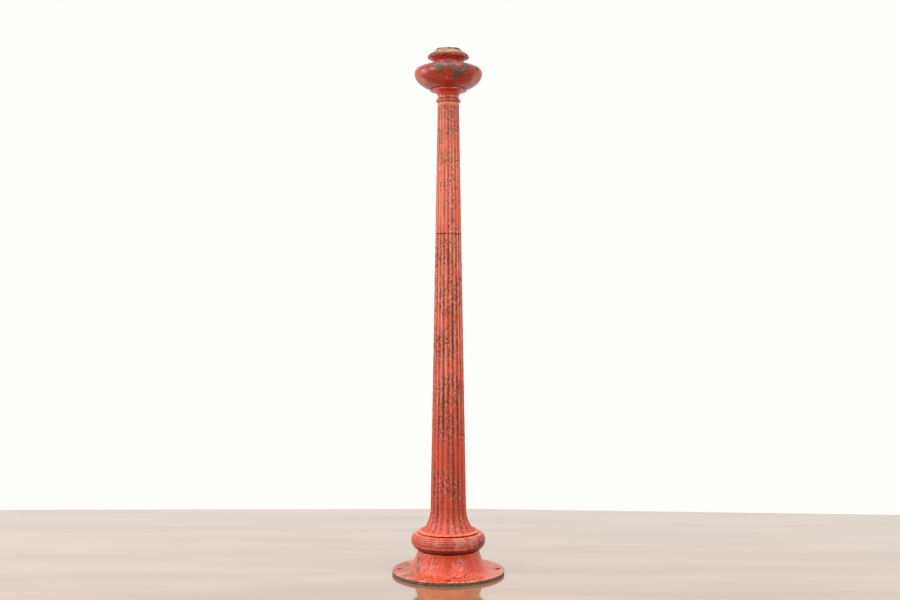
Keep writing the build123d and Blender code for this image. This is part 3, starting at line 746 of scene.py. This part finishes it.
# %% Ring moulding
ring_centre_z, ring_flat_r, ring_under_r, ring_core_r = 119.1, 111.3, 99.8, 100.0
reed_r = 1.3
over = ((ring_flat_r, ring_centre_z), 18.5, 23.5)  # centre, width and height of the upper curve
under = ((ring_under_r, ring_centre_z), 30.0, 33.1)  # and of the lower one
lower = ellipse(*under, -90, -22, 24) + ellipse(*under, -22, 0, 26)[1:]
upper = ellipse(*over, 0, 64, 50) + ellipse(*over, 64, 90, 5)[1:]
reeds = [ellipse(*curve, t, t, 1)[0] for curve, t in (
    (over, 55), (over, 33), (over, 15), (under, -2), (under, -12))]


def reeded(point):
    """Moves a point of the curve in where a reed is cut."""
    away = min(math.dist(point, reed) for reed in reeds)
    if away >= reed_r:
        return point
    cut = math.sqrt(reed_r ** 2 - away ** 2)
    out_r, out_z = point[0] - ring_core_r, point[1] - ring_centre_z
    length = math.hypot(out_r, out_z)
    return (point[0] - cut * out_r / length, point[1] - cut * out_z / length)


torus_out = [reeded(p) for p in lower + upper[1:]] + even([upper[-1], (96, ring_top_z)], 4)[1:]


def reed_shade(r, z, sideways):
    """Painted shade in the reeds, 0 away from them and 1 in them."""
    near = min(math.dist((r, z), reed) for reed in reeds)
    return 0.0, 1.0 - soft_step(near, 1.0, 2.4)


torus_in = [(79.6, ring_top_z), (79.6, 148.6), (70.6, 148.6), (70.6, ring_top_z),
            (50.6, ring_top_z), (50.6, 80.0), (59.6, 80.0), (59.6, seat_z)]


def torus_wear(r, z):
    """The widest line of the ring is bumped most."""
    return 0.25 * soft_step(r, 121.0, 129.0)


torus_paint = old_enamel(
    "ring_enamel", fresh=colour(230, 92, 58), faded=colour(236, 122, 90), fading=0.6, pits=0.45,
    specks=0.85, gloss=0.3, bump=0.6, edges=0.8, furrow_shade=0.9, primed=0.4, rub=0.36,
    bare=(mauve, colour(66, 44, 36)),
    crowded=[(-42, -122, 120, 26), (36, -124, 122, 26), (80, -98, 122, 34), (104, -70, 112, 34),
             (-60, 108, 120, 40)],
    dust_and_light=[(pale_dust, 0.7, [(-42, -122, 126, 20), (40, -120, 128, 26), (84, -92, 124, 34)])],
    worn=[(108, -66, 118, 30), (92, -86, 104, 24), (116, -50, 126, 24), (66, -104, 100, 14),
          (-100, 80, 110, 24)],
    # Both bands darken the ring's underside as painted shade.
    bands=[(78, 90, 1.0, grime_and_shade), (89, 103, 0.75, colour(132, 40, 26))])
torus_mesh = turned("ring_slice", torus_out, torus_in, 24, columns_of(18), torus_paint,
                    torus_wear, reed_shade)
torus_mesh = rough_cast(torus_mesh, torus_paint, 2.0, (0.0004, 80.0), (0.0006, 120.0), 0.0005)
finish_piece("ring_moulding", torus_mesh, "torus_ring")

# %% [markdown]
# The fluted shaft
#
# Twenty flutes repeat round the shaft, so the shaft is the best case for slices: one flute and
# half a land on each side. A flute is part of a circle, a fixed share of the pitch wide and
# deep, so it narrows by itself as the shaft tapers. At the foot it runs out along the flare
# and ends in a round nose; at the head it stops below a plain band.

# %% Flute rule
flare_wide, flare_tall = lip_nose_r - foot_r, shaft_z - lip_top_z
nose_turn = math.radians(72)
nose_at = (lip_nose_r - flare_wide * math.cos(nose_turn),
           shaft_z - flare_tall * math.sin(nose_turn))
flute_top_z = 1632.0
flute_columns = [-0.5, -0.42, -0.36, -0.28, -0.19, -0.095, 0.0,
                 0.095, 0.19, 0.28, 0.36, 0.42, 0.5]


def taper(z):
    """Radius of the straight shaft at a height."""
    return foot_r + (head_r - foot_r) * (z - shaft_z) / (head_z - shaft_z)


def flute_cut(r, z, sideways):
    """Depth of the flute in mm and how shaded the point is, 0 to 1."""
    if z < shaft_z:
        half = flute_half_share * 2 * math.pi * foot_r / flute_count
        beyond = math.dist((r, z), nose_at) if r > nose_at[0] else 0.0
    else:
        half = flute_half_share * 2 * math.pi * taper(z) / flute_count
        beyond = max(0.0, z - (flute_top_z - half))
    deepest = half / flute_half_share * flute_depth_share
    curve = (half ** 2 + deepest ** 2) / (2 * deepest)
    away = math.hypot(sideways, beyond)
    if away >= half:
        return 0.0, 0.0
    cut = math.sqrt(curve ** 2 - away ** 2) - (curve - deepest)
    worn = 1.0 - 0.4 * soft_step(z, seam_z - 100, head_z - 120)
    return cut * worn, cut / deepest


print("flute at the foot is", round(flute_cut(foot_r, shaft_z, 0)[0], 2), "mm deep")

# %% Lower shaft
lip_nose = arc((lip_nose_r, lip_low_z), (lip_r, (lip_low_z + lip_top_z) / 2),
               (lip_nose_r, lip_top_z), 6)
flare = ellipse((lip_nose_r, shaft_z), flare_wide, flare_tall, 270, 180, 46)
seam_r = taper(seam_z)
lower_out = lip_nose + flare[1:] + even([(foot_r, shaft_z), (seam_r, seam_z - 1.2)], 2.95)[1:]
lower_out += [(seam_r - 0.25, seam_z - 0.1)]
lower_in = [(35.9, seam_z), (35.9, seam_z - 60), (52.7, shaft_z), (56.0, 214.0), (61.5, 190.0),
            (72.0, 165.0), (80.0, 149.1), (80.0, ring_top_z), (101.0, ring_top_z),
            (101.0, lip_low_z)]


def lower_wear(r, z):
    """The lip is knocked a little."""
    return 0.3 * soft_step(r, 103.0, 106.0) * (1.0 if z < 152 else 0.0)


shaft_paint = old_enamel(
    "shaft_enamel", fresh=colour(230, 88, 56), faded=colour(238, 132, 106), fading=0.62, pits=0.5,
    streaks=0.75, specks=1.0, gloss=0.38, bump=0.8, edges=0.6, climb=(300, 900, 0.12),
    stain=(colour(44, 32, 24), colour(104, 78, 54)),
    crowded=[(-28, -40, 1120, 60), (10, -48, 1120, 70), (-10, -50, 960, 90), (-16, -50, 800, 90),
             (8, -52, 640, 80), (-20, -52, 520, 80), (-34, -50, 330, 60), (4, -58, 300, 50),
             (30, 46, 1000, 120), (-40, 40, 600, 120), (50, 20, 500, 90), (-44, -70, 186, 38),
             (14, -82, 186, 38), (66, -50, 186, 30), (0, 82, 190, 60)],
    # The pale band on the lip is a painted highlight where light falls from above.
    bands=[(144, 151, 0.55, colour(244, 132, 104)), (1181, 1184, 0.2, grime_and_shade)])
lower_mesh = turned("lower_flute", lower_out, lower_in, flute_count, flute_columns, shaft_paint,
                    lower_wear, flute_cut)
lower_mesh = rough_cast(lower_mesh, shaft_paint, 3.0, (0.0009, 100.0), (0.0011, 105.0), 0.0004)
finish_piece("shaft_lower_fluted", lower_mesh, "shaft_lower", 60.0)

# %% [markdown]
# The upper shaft
#
# The upper length is the same rule with the same slices. Four pins fasten it to the sleeve
# inside; their holes were filled and painted over, so each shows only as a shallow dimple.

# %% Upper shaft
pin_z, pin_dimple_r, pin_dimple = seam_z + 16, 4.6, 0.8
upper_out = [(seam_r - 0.25, seam_z + 0.1)]
below_pins, above_pins = pin_z - 7, pin_z + 7
upper_out += even([(taper(seam_z + 1.4), seam_z + 1.4), (taper(below_pins), below_pins)], 2.8)
upper_out += even([(taper(below_pins), below_pins), (taper(above_pins), above_pins)], 1.1)[1:]
upper_out += even([(taper(above_pins), above_pins), (head_r, head_z)], 2.8)[1:]
upper_in = [(27.9, head_z), (32.3, seam_z + 60), (35.8, seam_z + 60), (35.8, seam_z)]
top_paint = old_enamel(
    "upper_enamel", fresh=colour(230, 102, 76), faded=colour(236, 140, 114), fading=0.75,
    pits=0.5, streaks=0.5, specks=0.85, gloss=0.45, bump=0.7, edges=0.6, furrow_shade=0.28,
    stain=(colour(84, 52, 38), colour(128, 90, 66)),
    crowded=[(14, -36, 1600, 44), (16, -37, 1540, 36), (14, -38, 1440, 40), (4, -40, 1350, 50),
             (0, -42, 1280, 40), (12, -42, 1215, 30), (-20, 34, 1500, 80), (34, 20, 1300, 80)],
    dust_and_light=[(colour(186, 104, 80), 0.85, [(-18, -32, 1600, 44), (-20, -34, 1530, 50),
                                         (-14, -36, 1450, 40), (20, 34, 1560, 70)])],
    bands=[(1185, 1187, 0.2, grime_and_shade)])
upper_mesh = turned("upper_flute", upper_out, upper_in, flute_count, flute_columns, top_paint,
                    flute=flute_cut)
for point in upper_mesh.vertices:
    spot = point.co / MM
    if abs(spot.z - pin_z) < pin_dimple_r and math.hypot(spot.x, spot.y) > 40:
        turn = math.atan2(spot.y, spot.x)
        nearest = math.radians(45 + 90 * round((math.degrees(turn) - 45) / 90))
        away = math.hypot((turn - nearest) * seam_r, spot.z - pin_z)
        press = pin_dimple * (1.0 - soft_step(away, pin_dimple_r - 1.4, pin_dimple_r))
        point.co -= Vector((math.cos(turn), math.sin(turn), 0)) * press * MM
upper_mesh = rough_cast(upper_mesh, top_paint, 4.0, (0.0008, 100.0), (0.0011, 110.0), 0.0004)
finish_piece("shaft_upper_fluted", upper_mesh, "shaft_upper", 60.0)

# %% [markdown]
# Bead and neck
#
# A small round bead covers the joint between shaft and capital, and a curved neck with a
# rounded ring carries the bulb. Both are plain turned outlines.

# %% Bead and neck
ball_low, ball_mid, ball_high = head_z + 1.9, head_z + 7.5, head_z + 13.1
bead_out = ([(head_r, head_z)] + arc((head_r, ball_low), (43.3, ball_mid), (head_r, ball_high), 12)
            + even([(36.7, ball_high + 1), (36.7, bead_top_z)], 1.6))
bead_in = [(neck_bore_r, bead_top_z), (neck_bore_r, bead_top_z - 6), (bore_r, bead_top_z - 6),
           (bore_r, head_z - 6), (27.5, head_z - 6), (27.5, head_z)]
neck_ring_low = bulb_z - 8.7
neck_curve = arc((37.1, bead_top_z), (42.6, bead_top_z + 8.5), (58.1, neck_ring_low), 14)
neck_nose = arc((62.1, neck_ring_low + 1), (64.1, bulb_z - 4.35), (62.1, bulb_z), 8)
neck_out = neck_curve + neck_nose + even([(62.1, bulb_z), (48, bulb_z)], 4)[1:]
neck_in = [(neck_bore_r, bulb_z), (neck_bore_r, bulb_z - 6.5), (bore_r, bulb_z - 6.5),
           (bore_r, bead_top_z - 5.5), (29.6, bead_top_z - 5.5), (29.6, bead_top_z)]


def bead_wear(r, z):
    """The bead's round top is rubbed."""
    return 0.35 * soft_step(r, 41.0, 43.0)


def neck_wear(r, z):
    """The neck ring's edge is rubbed."""
    return 0.7 * soft_step(r, 62.0, 64.0)


neck_paint = old_enamel("neck_enamel", fresh=colour(200, 58, 34), fading=0.12, pits=0.2,
                        specks=0.2, gloss=0.24, bump=0.3, edges=0.9,
                        # The pale band along the top of the neck ring is a painted highlight.
                        bands=[(1684, 1690, 0.35, colour(196, 128, 100))])
bead_paint = old_enamel("bead_enamel", fresh=colour(200, 74, 48), fading=0.35, pits=0.5,
                        specks=0.6, gloss=0.32, bump=0.5, edges=0.7, furrow_shade=0.5,
                        # Both bands are painted shade, in the creases above and below the bead's
                        # ball.
                        bands=[(1655, 1658, 0.7, red_deep), (1640, 1643, 0.6, grime_and_shade)])
for name, node, outside, inside, wear, paint, seed in (
        ("bead_turned", "neck_bead", bead_out, bead_in, bead_wear, bead_paint, 5.0),
        ("neck_turned", "capital_neck", neck_out, neck_in, neck_wear, neck_paint, 6.0)):
    part = turned(name + "_slice", outside, inside, 16, columns_of(14), paint, wear)
    part = rough_cast(part, paint, seed, (0.0003, 130.0), (0.0004, 160.0), 0.0005)
    finish_piece(name, part, node)

# %% [markdown]
# The bulb
#
# The capital's bulb is an ellipse below its widest line and a squarer shoulder above it, the
# curve of a superellipse. Hands never reach it, yet ladders and signs have rubbed the front
# of its shoulder through the red to dark iron, and the top of the shoulder is dull brown.

# %% Bulb
bulb_r, bulb_low_tall, bulb_top_tall, bulb_power, throat_r = 118.1, 65.0, 35.6, 2.47, 52.0
low_turn = math.degrees(math.asin((belly_z - bulb_z) / bulb_low_tall))
bulb_lower = ellipse((0, belly_z), bulb_r, bulb_low_tall, -low_turn, 0, 44)
throat_turn = math.acos((throat_r / bulb_r) ** (bulb_power / 2))


def shoulder(wide, tall, steps):
    """The squarer upper curve, from the widest line to the throat."""
    turns = [throat_turn * (s / steps) ** 1.2 for s in range(steps + 1)]
    return [(wide * math.cos(t) ** (2 / bulb_power),
             belly_z + tall * max(0.0, math.sin(t)) ** (2 / bulb_power)) for t in turns]


bulb_upper = shoulder(bulb_r, bulb_top_tall, 40)
bulb_out = even([(60, bulb_z), bulb_lower[0]], 4) + bulb_lower[1:] + bulb_upper[1:]
bulb_out += [(throat_r, cup_z)]
bulb_in = [(neck_bore_r, cup_z), (neck_bore_r, 1770.0), (44.0, 1770.0), (90.0, 1764.0),
           (109.0, 1748.0), (108.0, 1735.0), (88.0, 1706.0), (66.0, 1697.0), (bore_r, 1697.0),
           (bore_r, 1683.0), (29.6, 1683.0), (29.6, bulb_z)]
bulb_paint = old_enamel(
    "bulb_enamel", fresh=colour(166, 40, 22), faded=colour(186, 62, 36), fading=0.2, pits=0.3,
    specks=0.6, gloss=0.2, bump=0.25, edges=0.5, primed=0.0, rub=0.38,
    bare=(colour(92, 78, 58), colour(38, 30, 22)),
    crowded=[(35, -109, 1727, 22), (-27, -114, 1742, 24), (13, -115, 1747, 22),
             (-54, -100, 1748, 22), (70, -90, 1716, 16), (90, -68, 1750, 22),
             (60, -100, 1738, 22), (30, 106, 1740, 40)],
    # The orange patches on the bulb's sides are painted side light, and the beige ones low on its
    # sides are painted bounce light from the floor; the brown ones on the shoulder are dull paint.
    dust_and_light=[(colour(206, 96, 58), 0.55, [(106, -44, 1734, 42), (-106, -44, 1734, 42),
                                        (70, 92, 1734, 50), (-76, 88, 1734, 50)]),
           (colour(206, 156, 118), 0.6, [(-92, -56, 1702, 26), (92, -56, 1702, 26),
                                         (-60, 84, 1702, 30), (84, 56, 1702, 30)]),
           (colour(94, 62, 54), 0.95, [(0, -96, 1762, 42), (50, -84, 1761, 40),
                                        (-50, -86, 1760, 38), (92, -52, 1756, 28),
                                        (-92, -48, 1757, 24), (-10, 96, 1764, 44)])],
    worn=[(36, -109, 1727, 36), (16, -114, 1739, 26), (-30, -113, 1743, 32),
          (8, -112, 1750, 30), (58, -96, 1750, 32), (94, -62, 1748, 24), (-8, -98, 1764, 28),
          (-64, -92, 1751, 18), (72, -90, 1718, 14), (30, 104, 1750, 30), (-84, 70, 1748, 28)])
bulb_mesh = turned("bulb_slice", bulb_out, bulb_in, 24, columns_of(16), bulb_paint)
bulb_mesh = rough_cast(bulb_mesh, bulb_paint, 7.0, (0.0003, 40.0), (0.0003, 120.0), 0.0004)
finish_piece("bulb_turned", bulb_mesh, "capital_bulb")

# %% [markdown]
# The cup and its collar
#
# A flared cup closes the top. Its rim is chipped to primer and iron, and its cover slopes up
# to a short pipe collar, which has lost its red and shows old cream primer and dark spots.

# %% Cup
cup_neck_r, cup_rim_r, cover_z = 50.9, 72.2, 1821.8
cup_out = even([(cup_neck_r, cup_z), (cup_neck_r, 1783.8)], 1.5)
cup_out += arc((cup_neck_r, 1783.8), (58.9, 1791.3), (68.2, 1795.5), 16)[1:]
cup_out += arc((68.2, 1795.5), (cup_rim_r, 1801.1), (69.2, 1806.7), 12)[1:]
cup_out += arc((69.2, 1806.7), (59.2, 1816.25), (44.75, cover_z), 16)[1:]
cup_in = [(44.75, ledge_z), (41.95, ledge_z), (41.95, 1786.0), (bore_r, 1786.0),
          (bore_r, 1772.0), (29.6, 1772.0), (29.6, cup_z)]


def cup_wear(r, z):
    """Bare round the rim, rubbed on the cover."""
    return max(0.85 * soft_step(r, 67.0, 70.5), 0.4 * soft_step(z, 1812, 1820))


cup_paint = old_enamel(
    "cup_enamel", fresh=colour(186, 56, 36), fading=0.2, pits=0.3, specks=0.5, gloss=0.3,
    bump=0.4, bare=(olive, mould),
    worn=[(-72, -8, 1801, 15), (72, -8, 1801, 15), (0, 72, 1801, 14), (0, -50, 1819, 14),
          (36, -36, 1819, 13), (-38, -34, 1819, 13), (20, 46, 1819, 13)],
    # The dark band on the rim's nose is painted shade.
    bands=[(1799, 1806, 0.5, colour(92, 44, 32)), (1807, 1823, 1.0, colour(142, 78, 64)),
           (1811, 1823, 0.42, colour(178, 148, 110)), (1812, 1823, 0.16, mould)])
cup_mesh = turned("cup_slice", cup_out, cup_in, 20, columns_of(14), cup_paint, cup_wear)
cup_mesh = rough_cast(cup_mesh, cup_paint, 8.0, (0.0004, 110.0), (0.0005, 150.0), 0.0012)
finish_piece("cup_flared", cup_mesh, "top_cup")

# %% Collar
collar_r, collar_in_r, collar_chamfer = 44.45, 38.95, 1.2
collar_out = even([(collar_r, ledge_z), (collar_r, collar_top_z - collar_chamfer),
                   (collar_r - collar_chamfer, collar_top_z),
                   (collar_in_r + collar_chamfer, collar_top_z),
                   (collar_in_r, collar_top_z - collar_chamfer), (collar_in_r, 1812.0)], 1.3)
collar_in = [(collar_in_r, ledge_z)]


def collar_wear(r, z):
    """The open end is the most worn."""
    return 0.5 + 0.4 * soft_step(z, 1824, 1828)


collar_finish = old_enamel(
    "collar_primer", fresh=colour(182, 150, 106), faded=colour(176, 122, 102), fading=0.4,
    pits=0.9, specks=0.6, gloss=0.55, bump=0.6, edges=0.85, rub=0.45, bare=(olive, mould),
    worn=[(4, -44, 1826, 13), (30, -32, 1824, 15), (-34, -28, 1827, 12), (44, 4, 1824, 14),
          (-44, 6, 1824, 14), (20, 40, 1824, 14), (-24, 38, 1826, 13)])
collar_mesh = turned("collar_slice", collar_out, collar_in, 16, columns_of(14), collar_finish,
                     collar_wear)
collar_mesh = rough_cast(collar_mesh, collar_finish, 9.0, (0.0003, 160.0), (0.0006, 190.0),
                         0.0008)
finish_piece("collar_worn", collar_mesh, "top_collar")

# %% [markdown]
# What is inside
#
# The clamp that holds the stack together is seen only from straight above and below: the
# centre pipe, nuts, washers, the bridge bar and its bolts. Their CAD shapes are right as they
# are, so they keep them and only get a finish: raw casting skin or dull rusty steel.

# %% Iron and steel
def dull_metal(name, bright, dark, rust, scale, rough):
    """Bare metal with drifting tone, rust blooms and a grained surface."""
    made, tree, shader, where = start_material(name)
    drift = noise_of(tree, where, scale, 4.0, 0.6)
    grain = noise_of(tree, where, scale * 9, 3.0, 0.6)
    tint = mix(tree, fade(tree, drift, 0.35, 0.65), bright, dark)
    bloom = fade(tree, noise_of(tree, where, scale * 2.2, 4.0, 0.7), 0.52, 0.64)
    tree.links.new(mix(tree, bloom, tint, rust), shader.inputs["Base Color"])
    tree.links.new(calc(tree, "SUBTRACT", 0.8, calc(tree, "MULTIPLY", bloom, 0.8), clamp=True),
                   shader.inputs["Metallic"])
    tree.links.new(fade(tree, grain, 0.3, 0.7, rough, rough + 0.2), shader.inputs["Roughness"])
    raised = put(tree, "ShaderNodeBump", {"Height": grain, "Strength": 0.4, "Distance": 0.0008})
    tree.links.new(raised.outputs[0], shader.inputs["Normal"])
    return made


rust_brown = colour(104, 58, 34)
raw_casting = dull_metal("raw_casting", colour(96, 90, 84), colour(58, 54, 50), rust_brown,
                         30, 0.6)
dull_steel = dull_metal("dull_steel", colour(150, 144, 136), colour(104, 98, 92), rust_brown,
                        45, 0.42)
plug_paint = old_enamel("plug_enamel", fading=0.4, pits=0.4, specks=0.5, edges=0.0,
                        bare=(colour(202, 88, 64), colour(150, 52, 34)))
finishes = {raw_casting: ["base_bridge", "centring_plate", "joint_sleeve"],
            dull_steel: ["tie_pipe", "bridge_bolts", "bridge_washers", "bottom_washer",
                         "bottom_nut", "bottom_locknut", "top_washer", "top_nut"],
            plug_paint: ["joint_pins"]}
for finish, names in finishes.items():
    for name in names:
        nodes[name].data.materials.clear()
        nodes[name].data.materials.append(finish)
print("finished CAD nodes:", sum(len(names) for names in finishes.values()))
